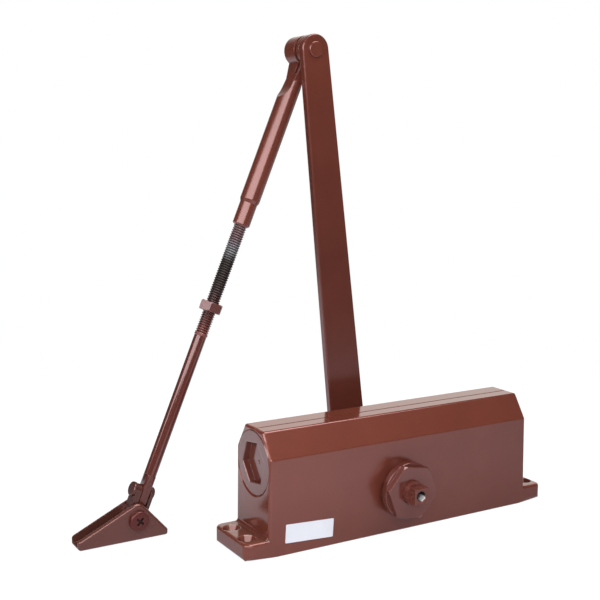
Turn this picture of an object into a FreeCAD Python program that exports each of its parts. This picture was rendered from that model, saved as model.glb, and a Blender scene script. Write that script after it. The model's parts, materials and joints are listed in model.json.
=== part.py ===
import FreeCAD, Part
import math
import os

# Hydraulic rack-and-pinion door closer with its regular arm, in millimetres.
# +Z points away from the mounting base, +X along the body, +Y along the spindle
# towards the side that carries the arm.  The origin is the centre of the four
# mounting holes, on the base plane.

V = FreeCAD.Vector
X_AXIS = V(1, 0, 0)
Y_AXIS = V(0, 1, 0)
Z_AXIS = V(0, 0, 1)
ORIGIN = V(0, 0, 0)

# ---- housing ----
body_length = 186.0          # between the end faces, at the base
body_width = 40.0            # along the spindle
body_height = 70.0
shoulder_width = 9.2         # chamfer of the top corners, sideways
shoulder_height = 14.4       # the same chamfer, in height
end_draft_deg = 0.9          # casting draft of the end faces
edge_radius = 1.6            # long and upright edges of the body
seam_width = 0.9             # groove along the top
seam_depth = 0.6
seam_offset = 1.5            # how far the groove lies off centre
lug_length = 14.6            # each lug, beyond the end face
lug_thickness = 10.0
lug_corner_radius = 4.5
lug_edge_radius = 1.6
lug_base_radius = 2.2        # round-over of the lower end edge
bevel_reach = 19.0           # round-over under the long sides of each lug
bevel_growth = 0.22          # its radius gained per millimetre towards the lug's end
root_radius = 2.2            # fillet between a lug and the end face
hole_spacing_x = 203.2
hole_spacing_y = 19.05
hole_radius = 3.25
countersink_radius = 5.2
countersink_depth = 4.0

# ---- cylinder and end plugs ----
bore_height = 49.7           # cylinder axis above the base
bore_radius = 16.0
plug_lip = 2.8               # plug's head beyond the cylinder, radially
plug_head = 11.8             # thickness of the plug's head
plug_inset = 0.9             # head's face behind the end face at the base
plug_spigot = 7.0            # spigot that enters the cylinder
plug_hex = 22.8              # across flats of the socket
plug_hex_depth = 3.8
plug_hex_bevel = 0.35        # round the mouth of the socket
dimple_radius = 1.2
mouth_start = 0.5            # bevel round the plug, behind the plug's face
mouth_width = 1.6
spring_nose_gap = 0.9        # nose inside the spring
spring_nose_length = 5.0
seal_section = 1.0           # radius of an O-ring's section
seal_gap = 0.3               # round a soft ring in its groove
seal_groove_width = 3.0
static_gap = 0.03            # radial, between pieces that stay put
running_gap = 0.05           # radial, between pieces that turn or slide

# ---- spindle, gear, rack ----
spindle_x = -3.0
spindle_radius = 7.25
square_size = 9.4
square_length = 4.7
spindle_tap_radius = 3.0
spindle_tap_depth = 12.0
tap_mouth = 0.45
gear_module = 2.0
gear_teeth = 10
gear_side_gap = 0.3          # gear's face inside its chamber
pressure_angle_deg = 30.0
addendum = 1.8
dedendum = 2.3
backlash = 0.3
chamber_gap = 1.2            # round the gear
rack_flat_depth = 0.45       # tips of the rack above the piston's underside
chamber_width = 20.0

# ---- bearing caps ----
cap_wall = 1.0               # round the bearing
collar_radius = 17.0
collar_base_radius = 14.2    # undercut where the collar meets the body
collar_undercut = 4.0        # height of that undercut
collar_thickness = 7.7
collar_edge = 0.6
cap_hex = 30.2
cap_hex_height = 3.8
cap_hex_turn_deg = 50.0
cap_hex_chamfer = 1.0
bearing_wall = 2.75
bearing_length = 9.0
seal_wall = 2.15             # seal's pocket round the spindle
seal_step = 1.0              # wall between bearing and seal
cap_inner_gap = 0.3          # cap's inner face behind the chamber's end
spindle_seal_length = 3.0
cap_face_to_arm = 3.2        # from the cap's face to the arm

# ---- piston ----
piston_length = 96.4
piston_stop_gap = 0.3        # between piston and right plug at rest
pocket_gap = 0.7             # pocket round the spring
pocket_depth = 10.0
rack_teeth_before = 1        # grooves to the left of the gear's centre
rack_teeth_after = 6
ring_inset = 8.0
ring_width = 3.0
ring_depth = 2.0
valve_bore_radius = 4.0
valve_length = 7.0
spring_wire_radius = 1.6
spring_coil_radius = 10.0
spring_turns = 7.5
spring_end_gap = 0.3

# ---- speed valves ----
valve_height = 17.0
valve_spread = 18.0
valve_radius = 3.6
valve_screw_length = 15.0
valve_recess = 1.0
valve_slot_width = 1.2
valve_slot_depth = 1.4
valve_tip_length = 3.0
valve_tip_radius = 1.2
port_radius = 1.3

# ---- bare plate on the front face ----
plate_length = 31.3
plate_height = 10.8
plate_thickness = 0.25
plate_x = -66.8
plate_z = 11.3
plate_tilt_deg = 3.4

# ---- main arm ----
arm_length = 258.4           # spindle axis to elbow axis
arm_lean_deg = 6.1
arm_thickness = 5.0
arm_root_radius = 12.7
arm_tip_radius = 9.0
arm_edge_radius = 0.9
arm_square_gap = 0.05
washer_radius = 8.0
washer_thickness = 1.5
arm_screw_radius = 2.95
arm_screw_head_radius = 5.5
arm_screw_head_height = 3.0
arm_screw_grip = 10.0
arm_screw_socket = 4.0

# ---- elbow ----
elbow_pin_radius = 3.5
elbow_head_radius = 4.65
elbow_head_height = 1.1
elbow_tail_radius = 5.4
elbow_tail_height = 1.5
elbow_gap = 0.4              # between arm and fork
fork_width = 17.0
fork_radius = 8.9
front_ear = 2.5
fork_slot = 3.0
fork_slot_depth = 16.5
fork_length = 24.0
neck_rear_start = 7.0        # bevel on the back of the neck, below the pin
neck_rear_end = 19.0
neck_rear_half = 4.6
neck_edge_radius = 1.4
neck_half = 3.9              # from the axis to each milled flat of the fork
neck_length = 29.8
neck_cutter = 12.0           # radius left at the flat's lower end
scoop_half = 2.6             # the same for the deeper flat on the left
scoop_length = 38.2
scoop_cutter = 16.0
spacer_radius = 5.6
spacer_gap = 0.1

# ---- forearm ----
shoe_reach = 114.7           # from the elbow axis to the shoe's screw, along X
tube_radius = 6.0
tube_end_radius = 5.25
tube_end = 112.0             # from the elbow axis
tube_neck = 16.0
rod_radius = 4.1
shank_radius = 3.7
rod_start = 88.0
thread_end = 181.2
flat_length = 17.6
rod_tail = 7.2               # rod beyond the knuckle pin
rod_flat = 5.6
rod_flat_width = 8.2
tube_bore_start = 60.0
thread_gap = 0.05
nut_position = 163.6
nut_hex = 12.7
nut_thickness = 5.8
nut_chamfer = 1.0

# ---- knuckle ----
knuckle_pin_rise = 15.7      # pin above the shoe's screw, along the rod
knuckle_pin_radius = 2.5
knuckle_head_radius = 4.35
knuckle_head_height = 2.0
knuckle_tail_radius = 3.5
knuckle_tail_height = 0.6
rivet_edge = 0.45            # rounding of the rivet's ends, part of their height
ear_gap = 0.2                # between rod and each ear
head_ear_thickness = 3.6     # the ear under the rivet's head
tail_ear_thickness = 2.0
ear_width = 7.8
knuckle_side_gap = 0.3       # between knuckle and each plate of the shoe
throat_gap = 2.0             # under the rod's end
knuckle_eye_radius = 8.4

# ---- shoe ----
shoe_width = 13.4
shoe_sheet = 2.0
shoe_screw_height = 12.0
shoe_left = 36.4             # reaches of the shoe from its screw
shoe_right = 18.3
shoe_tip_height = 5.5
shoe_heel_height = 3.4
shoe_apex_height = 23.2
shoe_apex_shift = 1.1
shoe_apex_radius = 6.5
shoe_corner_radius = 2.5
shoe_fold_radius = 1.6
shoe_hole_radius = 2.4
shoe_hole_left = 26.5        # screw holes in the web, from the shoe's screw
shoe_hole_right = 13.8
shoe_screw_radius = 3.0
shoe_head_radius = 6.0
shoe_head_height = 2.6
cross_length = 5.6
cross_width = 1.3
cross_depth = 1.5
cross_turn_deg = 42.0
shoe_nut_hex = 10.0
shoe_nut_thickness = 4.0
shoe_screw_tail = 1.2


# ---------------------------------------------------------------- helpers
def box(x0, x1, y0, y1, z0, z1):
    return Part.makeBox(x1 - x0, y1 - y0, z1 - z0, V(x0, y0, z0))


def rod_x(radius, x0, x1, y, z):
    return Part.makeCylinder(radius, x1 - x0, V(x0, y, z), X_AXIS)


def rod_y(radius, y0, y1, x, z):
    return Part.makeCylinder(radius, y1 - y0, V(x, y0, z), Y_AXIS)


def rod_z(radius, z0, z1, x, y):
    return Part.makeCylinder(radius, z1 - z0, V(x, y, z0), Z_AXIS)


def cone_y(radius0, radius1, y0, y1, x, z):
    return Part.makeCone(radius0, radius1, y1 - y0, V(x, y0, z), Y_AXIS)


def face_of(points):
    return Part.Face(Part.makePolygon(points + [points[0]]))


def rounded_face(points, radii):
    """Flat face whose corners are rounded by the given radii."""
    edges = []
    count = len(points)
    joints = []
    for i in range(count):
        corner = points[i]
        before = (points[i - 1] - corner).normalize()
        after = (points[(i + 1) % count] - corner).normalize()
        half = math.acos(max(-1.0, min(1.0, before.dot(after)))) / 2
        reach = radii[i] / math.tan(half)
        inward = (before + after).normalize()
        centre = corner + inward * (radii[i] / math.sin(half))
        middle = centre - inward * radii[i]
        joints.append((corner + before * reach, middle, corner + after * reach))
    for i in range(count):
        start, middle, end = joints[i]
        edges.append(Part.Arc(start, middle, end).toShape())
        edges.append(Part.makeLine(end, joints[(i + 1) % count][0]))
    return Part.Face(Part.Wire(edges))


def hexagon(across_flats, turn_deg, place):
    """Hexagonal face; place(u, v) gives each corner."""
    radius = across_flats / 2 / math.cos(math.pi / 6)
    corners = []
    for i in range(6):
        angle = math.radians(turn_deg + 60 * i)
        corners.append(place(radius * math.cos(angle), radius * math.sin(angle)))
    return face_of(corners)


def edges_where(shape, test):
    return [edge for edge in shape.Edges if test(edge)]


def straight_along(edge, axis):
    if not isinstance(edge.Curve, Part.Line):
        return False
    return abs(edge.Curve.Direction.dot(axis)) > 0.99


def save(node, shape):
    shape = shape.removeSplitter() if len(shape.Solids) == 1 else shape
    shape.exportStep("parts/" + node + ".step")


def mirror_x(shape):
    return shape.mirror(ORIGIN, X_AXIS)


def mirror_y(shape):
    return shape.mirror(ORIGIN, Y_AXIS)


# ---------------------------------------------------------------- derived places
half_width = body_width / 2
draft = math.tan(math.radians(end_draft_deg))
piston_radius = bore_radius - running_gap
pitch_radius = gear_module * gear_teeth / 2
rack_tips = bore_height - piston_radius + rack_flat_depth
rack_line = rack_tips + addendum
spindle_height = rack_line - pitch_radius
chamber_radius = pitch_radius + addendum + chamber_gap
plug_radius = bore_radius + plug_lip
spring_nose_radius = spring_coil_radius - spring_wire_radius - spring_nose_gap
pocket_radius = spring_coil_radius + spring_wire_radius + pocket_gap
bearing_radius = spindle_radius + bearing_wall
seal_bore_radius = spindle_radius + seal_wall
cap_thread_radius = bearing_radius + cap_wall
plug_face = body_length / 2 - plug_inset
plug_seat = plug_face - plug_head
spigot_end = plug_seat - plug_spigot
cap_face = half_width + collar_thickness + cap_hex_height
arm_front = cap_face + cap_face_to_arm
arm_back = arm_front + arm_thickness
square_end = arm_front + square_length
gear_width = chamber_width - 2 * gear_side_gap
cap_inner = chamber_width / 2 + cap_inner_gap

fork_front = arm_back + elbow_gap
fork_back = fork_front + fork_width
forearm_y = (fork_front + fork_back) / 2
lean = math.radians(arm_lean_deg)
elbow_x = spindle_x - arm_length * math.sin(lean)
elbow_z = spindle_height + arm_length * math.cos(lean)
shoe_x = elbow_x - shoe_reach
forearm_length = math.hypot(shoe_reach, elbow_z - shoe_screw_height)
forearm_lean = math.atan2(shoe_reach, elbow_z - shoe_screw_height)
shoe_front = forearm_y - shoe_width / 2
shoe_back = forearm_y + shoe_width / 2
knuckle_pin_position = forearm_length - knuckle_pin_rise
rod_end = knuckle_pin_position + rod_tail
flat_start = rod_end - flat_length
knuckle_base = rod_end + throat_gap
knuckle_half_gap = rod_flat / 2 + ear_gap
head_ear_face = knuckle_half_gap + head_ear_thickness
tail_ear_face = knuckle_half_gap + tail_ear_thickness
knuckle_width = shoe_width - 2 * shoe_sheet - 2 * knuckle_side_gap


def to_forearm(shape):
    """From the forearm's own frame (axis down -Z, elbow at the origin)."""
    shape.rotate(ORIGIN, Y_AXIS, math.degrees(forearm_lean))
    shape.translate(V(elbow_x, forearm_y, elbow_z))
    return shape


def to_arm(shape):
    """From the arm's own frame (elbow up +Z, spindle axis at the origin)."""
    shape.rotate(ORIGIN, Y_AXIS, -arm_lean_deg)
    shape.translate(V(spindle_x, 0, spindle_height))
    return shape


# ---------------------------------------------------------------- housing
def housing_outside():
    half = body_length / 2
    lean_in = draft * body_height
    side = face_of([V(-half, 0, 0), V(half, 0, 0),
                    V(half - lean_in, 0, body_height), V(-half + lean_in, 0, body_height)])
    side.translate(V(0, -half_width, 0))
    block = side.extrude(V(0, body_width, 0))
    low = body_height - shoulder_height
    top = half_width - shoulder_width
    section = rounded_face(
        [V(0, -half_width, 0), V(0, half_width, 0), V(0, half_width, low),
         V(0, top, body_height), V(0, -top, body_height), V(0, -half_width, low)],
        [0.5, 0.5, edge_radius, edge_radius, edge_radius, edge_radius])
    section.translate(V(-half, 0, 0))
    block = block.common(section.extrude(V(body_length, 0, 0)))
    rims = edges_where(block, lambda e: abs(e.CenterOfMass.x) > half - lean_in - 1
                       and e.CenterOfMass.z > lug_thickness / 2)
    block = block.makeFillet(edge_radius, rims)
    end = half + lug_length
    plan = rounded_face(
        [V(-end, -half_width, 0), V(end, -half_width, 0),
         V(end, half_width, 0), V(-end, half_width, 0)],
        [lug_corner_radius] * 4)
    foot = plan.extrude(V(0, 0, lug_thickness))
    rims = edges_where(foot, lambda e: e.CenterOfMass.z > lug_thickness - 0.01)
    foot = foot.makeFillet(lug_edge_radius, rims)
    shape = block.fuse(foot)
    shape = shape.removeSplitter()
    for sign in (-1, 1):
        end_x = sign * (half - draft * lug_thickness)
        wall = box(-root_radius, root_radius, lug_edge_radius - half_width,
                   half_width - lug_edge_radius, 0, root_radius)
        wall = wall.cut(rod_y(root_radius, -half_width, half_width,
                              root_radius, root_radius))
        wall = wall.common(box(0, root_radius, -half_width, half_width, 0, root_radius))
        if sign < 0:
            wall = mirror_x(wall)
        wall.translate(V(end_x, 0, lug_thickness))
        shape = shape.fuse(wall)
    return shape.removeSplitter()


def lug_bevel():
    """What a growing round-over takes from one long lower edge of the left lug."""
    end = body_length / 2 + lug_length
    reach = bevel_reach + 1
    side = bevel_growth * reach
    tip = V(bevel_reach - end, -half_width, 0)
    far = tip.x - reach
    corners = [V(far, -half_width - 0.01, -0.01), V(far, side - half_width, -0.01),
               V(far, side - half_width, side), V(far, -half_width - 0.01, side)]
    shell = [face_of(corners)]
    for i in range(4):
        shell.append(face_of([corners[i], corners[(i + 1) % 4], tip]))
    wedge = Part.Solid(Part.Shell(shell))
    along = V(-1, bevel_growth, bevel_growth)
    slope = bevel_growth / math.sqrt(1 + bevel_growth ** 2)
    height = (reach + side) * along.Length
    return wedge.cut(Part.makeCone(0, height * slope, height, tip, along))


def lug_end_round():
    """What a round-over takes from the lower end edge of the left lug."""
    end = body_length / 2 + lug_length
    corner = box(-end - 0.01, lug_base_radius - end, -half_width - 1, half_width + 1,
                 -0.01, lug_base_radius)
    return corner.cut(rod_y(lug_base_radius, -half_width - 2, half_width + 2,
                            lug_base_radius - end, lug_base_radius))


def make_housing():
    shape = housing_outside()
    half = body_length / 2
    cuts = [lug_end_round(), mirror_x(lug_end_round())]
    bevel = lug_bevel()
    for piece in (bevel, mirror_x(bevel)):
        cuts.append(piece)
        cuts.append(mirror_y(piece))
    seat_radius = plug_radius + static_gap
    mouth = Part.makeCone(seat_radius, seat_radius + mouth_width, mouth_width,
                          V(plug_face - mouth_start, 0, bore_height), X_AXIS)
    cuts.append(mouth)
    cuts.append(mirror_x(mouth))
    for x in (-hole_spacing_x / 2, hole_spacing_x / 2):
        for y in (-hole_spacing_y / 2, hole_spacing_y / 2):
            cuts.append(rod_z(hole_radius, -1, lug_thickness + 1, x, y))
            sink = Part.makeCone(hole_radius, countersink_radius, countersink_depth,
                                 V(x, y, lug_thickness - countersink_depth), Z_AXIS)
            cuts.append(sink)
            cuts.append(rod_z(countersink_radius, lug_thickness,
                              lug_thickness + root_radius, x, y))
    cuts.append(rod_x(bore_radius, -plug_seat, plug_seat, 0, bore_height))
    for x0, x1 in ((-half - 1, -plug_seat), (plug_seat, half + 1)):
        cuts.append(rod_x(plug_radius + static_gap, x0, x1, 0, bore_height))
    cuts.append(rod_y(chamber_radius, -chamber_width / 2, chamber_width / 2,
                      spindle_x, spindle_height))
    for y0, y1 in ((-half_width - 1, -chamber_width / 2), (chamber_width / 2, half_width + 1)):
        cuts.append(rod_y(cap_thread_radius + static_gap, y0, y1, spindle_x, spindle_height))
    cuts.append(box(-half, half, -seam_offset - seam_width / 2, -seam_offset + seam_width / 2,
                    body_height - seam_depth, body_height + 1))
    valve_floor = half - valve_recess - valve_screw_length - valve_tip_length
    for y in (-valve_spread / 2, valve_spread / 2):
        cuts.append(rod_x(valve_radius + running_gap, valve_floor, half + 1, y, valve_height))
        cuts.append(rod_z(port_radius, valve_height, bore_height, valve_floor + 1, y))
    for cut in cuts:
        shape = shape.cut(cut)
    return shape


def make_label():
    plate = rounded_face(
        [V(-plate_length / 2, 0, -plate_height / 2), V(plate_length / 2, 0, -plate_height / 2),
         V(plate_length / 2, 0, plate_height / 2), V(-plate_length / 2, 0, plate_height / 2)],
        [0.6] * 4)
    plate = plate.extrude(V(0, -plate_thickness, 0))
    plate.rotate(ORIGIN, Y_AXIS, plate_tilt_deg)
    plate.translate(V(plate_x, -half_width, plate_z))
    return plate


# ---------------------------------------------------------------- plugs and caps
def make_plug(with_nose):
    """Right-hand plug; its head looks towards +X."""
    plug = rod_x(plug_radius, plug_seat, plug_face, 0, bore_height)
    plug = plug.makeChamfer(0.5, edges_where(plug, lambda e: e.CenterOfMass.x > plug_face - 0.1
                                             and not isinstance(e.Curve, Part.Line)))
    plug = plug.fuse(rod_x(bore_radius - static_gap, spigot_end, plug_seat, 0, bore_height))
    groove_start = plug_seat - plug_spigot / 2 - seal_groove_width / 2
    groove_floor = bore_radius - 2 * seal_section - 2 * seal_gap
    groove = rod_x(bore_radius + 1, groove_start, groove_start + seal_groove_width,
                   0, bore_height)
    groove = groove.cut(rod_x(groove_floor, groove_start, groove_start + seal_groove_width,
                              0, bore_height))
    plug = plug.cut(groove)
    socket = hexagon(plug_hex, -9.0, lambda u, v: V(plug_face - plug_hex_depth, u,
                                                   bore_height + v))
    plug = plug.cut(socket.extrude(V(plug_hex_depth + 1, 0, 0)))
    dimple = Part.makeCone(0, dimple_radius, dimple_radius,
                           V(plug_face - plug_hex_depth - dimple_radius, 0, bore_height), X_AXIS)
    plug = plug.cut(dimple)
    plug = plug.makeChamfer(plug_hex_bevel, edges_where(
        plug, lambda e: abs(e.CenterOfMass.x - plug_face) < 0.01
        and isinstance(e.Curve, Part.Line)))
    if with_nose:
        plug = plug.fuse(rod_x(spring_nose_radius, spigot_end - spring_nose_length,
                               spigot_end, 0, bore_height))
    return plug


def make_plug_seals():
    ring_x = plug_seat - plug_spigot / 2
    ring_radius = bore_radius - seal_gap - seal_section
    rings = []
    for x in (-ring_x, ring_x):
        rings.append(Part.makeTorus(ring_radius, seal_section, V(x, 0, bore_height), X_AXIS))
    return Part.makeCompound(rings)


def make_cap():
    """Rear cap; its hexagon looks towards +Y."""
    cap = rod_y(cap_thread_radius, cap_inner, half_width, spindle_x, spindle_height)
    collar_end = half_width + collar_thickness
    rim_start = half_width + collar_undercut
    collar = rod_y(collar_radius, rim_start, collar_end, spindle_x, spindle_height)
    collar = collar.makeFillet(collar_edge, edges_where(
        collar, lambda e: abs(e.CenterOfMass.y - collar_end) < 0.01
        and not isinstance(e.Curve, Part.Line)))
    undercut = cone_y(collar_base_radius, collar_radius, half_width, rim_start,
                      spindle_x, spindle_height)
    cap = cap.fuse(undercut).fuse(collar)
    head = hexagon(cap_hex, cap_hex_turn_deg,
                   lambda u, v: V(spindle_x + u, collar_end, spindle_height + v))
    head = head.extrude(V(0, cap_hex_height, 0))
    corner = cap_hex / 2 / math.cos(math.pi / 6)
    turned = cone_y(corner + cap_hex_height - cap_hex_chamfer, corner - cap_hex_chamfer,
                    collar_end, cap_face, spindle_x, spindle_height)
    cap = cap.fuse(head.common(turned))
    bearing_end = cap_inner + bearing_length
    seal_start = bearing_end + seal_step
    seal_end = seal_start + spindle_seal_length + 2 * seal_gap
    cap = cap.cut(rod_y(spindle_radius + running_gap, cap_inner - 1, cap_face + 1,
                        spindle_x, spindle_height))
    cap = cap.cut(rod_y(bearing_radius + static_gap, cap_inner - 1, bearing_end,
                        spindle_x, spindle_height))
    cap = cap.cut(rod_y(seal_bore_radius, seal_start, seal_end, spindle_x, spindle_height))
    return cap


def make_bearings():
    outer = cap_inner + bearing_length
    sleeve = rod_y(bearing_radius, cap_inner, outer, spindle_x, spindle_height)
    sleeve = sleeve.cut(rod_y(spindle_radius + running_gap, cap_inner - 1, outer + 1,
                              spindle_x, spindle_height))
    return Part.makeCompound([sleeve, mirror_y(sleeve)])


def make_spindle_seals():
    start = cap_inner + bearing_length + seal_step + seal_gap
    end = start + spindle_seal_length
    ring = rod_y(seal_bore_radius - seal_gap, start, end, spindle_x, spindle_height)
    ring = ring.cut(rod_y(spindle_radius + running_gap, start - 1, end + 1,
                          spindle_x, spindle_height))
    return Part.makeCompound([ring, mirror_y(ring)])


# ---------------------------------------------------------------- spindle with gear
def gear_face():
    base_radius = pitch_radius * math.cos(math.radians(pressure_angle_deg))
    tip_radius = pitch_radius + addendum
    root_radius_gear = pitch_radius - dedendum

    def involute(angle):
        return math.tan(angle) - angle

    half_tooth = math.pi / (2 * gear_teeth) + involute(math.radians(pressure_angle_deg))
    steps = 6
    flank = []
    for i in range(steps + 1):
        radius = base_radius + (tip_radius - base_radius) * i / steps
        angle = half_tooth - involute(math.acos(min(1.0, base_radius / radius)))
        flank.append((radius, angle))
    points = []
    pitch_angle = 2 * math.pi / gear_teeth
    for tooth in range(gear_teeth):
        middle = math.pi / 2 + tooth * pitch_angle
        outline = [(root_radius_gear, -half_tooth)]
        outline += [(radius, -angle) for radius, angle in flank]
        outline += [(radius, angle) for radius, angle in reversed(flank)]
        outline.append((root_radius_gear, half_tooth))
        for radius, angle in outline:
            points.append(V(spindle_x + radius * math.cos(middle + angle), 0,
                            spindle_height + radius * math.sin(middle + angle)))
    return face_of(points)


def make_pinion():
    gear = gear_face()
    gear.translate(V(0, -gear_width / 2, 0))
    shape = gear.extrude(V(0, gear_width, 0))
    shape = shape.fuse(rod_y(spindle_radius, -arm_front, arm_front, spindle_x, spindle_height))
    half = square_size / 2
    shape = shape.fuse(box(spindle_x - half, spindle_x + half, -square_end, square_end,
                           spindle_height - half, spindle_height + half))
    for sign in (-1, 1):
        start = min(sign * square_end, sign * (square_end - spindle_tap_depth))
        shape = shape.cut(rod_y(spindle_tap_radius, start, start + spindle_tap_depth,
                                spindle_x, spindle_height))
        wide = spindle_tap_radius + tap_mouth
        if sign < 0:
            mouth = cone_y(wide, spindle_tap_radius, -square_end, -square_end + tap_mouth,
                           spindle_x, spindle_height)
        else:
            mouth = cone_y(spindle_tap_radius, wide, square_end - tap_mouth, square_end,
                           spindle_x, spindle_height)
        shape = shape.cut(mouth)
    return shape


# ---------------------------------------------------------------- piston group
piston_right = spigot_end - piston_stop_gap
piston_left = piston_right - piston_length
rack_pitch = math.pi * gear_module


def make_piston():
    shape = rod_x(piston_radius, piston_left, piston_right, 0, bore_height)
    tip = rack_tips
    root = rack_line + dedendum
    slope = math.tan(math.radians(pressure_angle_deg))
    first = spindle_x - rack_teeth_before * rack_pitch
    last = spindle_x + rack_teeth_after * rack_pitch
    shape = shape.cut(box(first - rack_pitch / 2, last + rack_pitch / 2, -bore_radius,
                          bore_radius, bore_height - bore_radius - 1, tip))
    wide = rack_pitch / 4 + addendum * slope + backlash / 2
    narrow = rack_pitch / 4 - dedendum * slope + backlash / 2
    drop = tip - bore_height + bore_radius + 1
    for i in range(-rack_teeth_before, rack_teeth_after + 1):
        x = spindle_x + i * rack_pitch
        groove = face_of([V(x - wide - drop * slope, -bore_radius, tip - drop),
                          V(x + wide + drop * slope, -bore_radius, tip - drop),
                          V(x + narrow, -bore_radius, root),
                          V(x - narrow, -bore_radius, root)])
        shape = shape.cut(groove.extrude(V(0, 2 * bore_radius, 0)))
    shape = shape.cut(rod_x(pocket_radius, piston_left - 1, piston_left + pocket_depth,
                            0, bore_height))
    ring_start = piston_right - ring_inset - ring_width
    groove = rod_x(bore_radius + 1, ring_start, ring_start + ring_width, 0, bore_height)
    groove = groove.cut(rod_x(piston_radius - ring_depth, ring_start,
                              ring_start + ring_width, 0, bore_height))
    shape = shape.cut(groove)
    shape = shape.cut(rod_x(valve_bore_radius + static_gap, piston_right - valve_length - 1,
                            piston_right + 1, 0, bore_height))
    return shape


def make_piston_ring():
    start = piston_right - ring_inset - ring_width + seal_gap / 3
    end = piston_right - ring_inset - seal_gap / 3
    ring = rod_x(piston_radius, start, end, 0, bore_height)
    return ring.cut(rod_x(piston_radius - ring_depth + seal_gap, start - 1, end + 1,
                          0, bore_height))


def make_check_valve():
    start = piston_right - valve_length - 1
    shape = rod_x(valve_bore_radius, start, start + valve_length, 0, bore_height)
    return shape.cut(rod_x(valve_bore_radius / 2, start + 1, start + valve_length + 1,
                           0, bore_height))


def make_spring():
    start = -spigot_end + spring_wire_radius + spring_end_gap
    end = piston_left + pocket_depth - spring_wire_radius - spring_end_gap
    pitch = (end - start) / spring_turns
    path = Part.makeHelix(pitch, end - start, spring_coil_radius)
    wire = Part.Wire([Part.Circle(V(spring_coil_radius, 0, 0), Y_AXIS,
                                  spring_wire_radius).toShape()])
    coil = Part.Wire(path).makePipeShell([wire], True, True)
    coil.rotate(ORIGIN, Y_AXIS, 90)
    coil.translate(V(start, 0, bore_height))
    return coil


def make_valve(y):
    """Slotted speed screw in the right end face."""
    face = body_length / 2 - valve_recess
    start = face - valve_screw_length
    shape = rod_x(valve_radius, start, face, y, valve_height)
    tip = Part.makeCone(valve_tip_radius, valve_radius, valve_tip_length,
                        V(start - valve_tip_length, y, valve_height), X_AXIS)
    shape = shape.fuse(tip)
    slot = box(face - valve_slot_depth, face + 1, y - valve_radius - 1, y + valve_radius + 1,
               valve_height - valve_slot_width / 2, valve_height + valve_slot_width / 2)
    return shape.cut(slot)


# ---------------------------------------------------------------- main arm
def make_arm():
    rise = math.asin((arm_root_radius - arm_tip_radius) / arm_length)
    lift = math.cos(rise)
    slide = math.sin(rise)
    root = arm_root_radius
    tip = arm_tip_radius
    flank = [V(-root * lift, 0, root * slide), V(root * lift, 0, root * slide),
             V(tip * lift, 0, arm_length + tip * slide),
             V(-tip * lift, 0, arm_length + tip * slide)]
    edges = [Part.Arc(flank[0], V(0, 0, -root), flank[1]).toShape(),
             Part.makeLine(flank[1], flank[2]),
             Part.Arc(flank[2], V(0, 0, arm_length + tip), flank[3]).toShape(),
             Part.makeLine(flank[3], flank[0])]
    arm = Part.Face(Part.Wire(edges))
    arm.translate(V(0, arm_front, 0))
    arm = arm.extrude(V(0, arm_thickness, 0))
    arm = arm.makeFillet(arm_edge_radius, edges_where(
        arm, lambda e: abs(e.CenterOfMass.y - arm_front) < 0.01
        or abs(e.CenterOfMass.y - arm_back) < 0.01))
    arm = arm.cut(rod_y(elbow_pin_radius + static_gap, arm_front - 1, arm_back + 1,
                        0, arm_length))
    arm = to_arm(arm)
    half = square_size / 2 + arm_square_gap
    return arm.cut(box(spindle_x - half, spindle_x + half, arm_front - 1, arm_back + 1,
                       spindle_height - half, spindle_height + half))


def make_arm_washer():
    washer = rod_y(washer_radius, arm_back, arm_back + washer_thickness,
                   spindle_x, spindle_height)
    return washer.cut(rod_y(arm_screw_radius + static_gap, arm_back - 1,
                            arm_back + washer_thickness + 1, spindle_x, spindle_height))


def make_arm_screw():
    seat = arm_back + washer_thickness
    top = seat + arm_screw_head_height
    head = rod_y(arm_screw_head_radius, seat, top, spindle_x, spindle_height)
    head = head.makeFillet(1.0, edges_where(
        head, lambda e: abs(e.CenterOfMass.y - top) < 0.01
        and not isinstance(e.Curve, Part.Line)))
    socket = hexagon(arm_screw_socket, 0.0, lambda u, v: V(spindle_x + u, top - 1.8,
                                                          spindle_height + v))
    head = head.cut(socket.extrude(V(0, 3, 0)))
    return head.fuse(rod_y(arm_screw_radius, seat - arm_screw_grip, seat,
                           spindle_x, spindle_height))


def make_elbow_pin():
    pin = rod_y(elbow_pin_radius, arm_front, fork_back, elbow_x, elbow_z)
    front = rod_y(elbow_head_radius, arm_front - elbow_head_height, arm_front,
                  elbow_x, elbow_z)
    front = front.makeFillet(0.6, edges_where(
        front, lambda e: e.CenterOfMass.y < arm_front - elbow_head_height + 0.01
        and not isinstance(e.Curve, Part.Line)))
    tail_end = fork_back + running_gap + elbow_tail_height
    tail = rod_y(elbow_tail_radius, fork_back + running_gap, tail_end, elbow_x, elbow_z)
    tail = tail.makeFillet(0.9, edges_where(
        tail, lambda e: e.CenterOfMass.y > tail_end - 0.01
        and not isinstance(e.Curve, Part.Line)))
    neck = rod_y(elbow_pin_radius, fork_back, tail_end - 0.5, elbow_x, elbow_z)
    return pin.fuse(front).fuse(neck).fuse(tail)


# ---------------------------------------------------------------- forearm
def neck_flat(half, length, cutter):
    """What the cutter takes off the +X side of the neck, at `half` from the axis."""
    flat = box(half, 2 * fork_radius, -fork_width, fork_width, cutter - length, fork_radius + 1)
    return flat.fuse(rod_y(cutter, -fork_width, fork_width, half + cutter, cutter - length))


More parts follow.
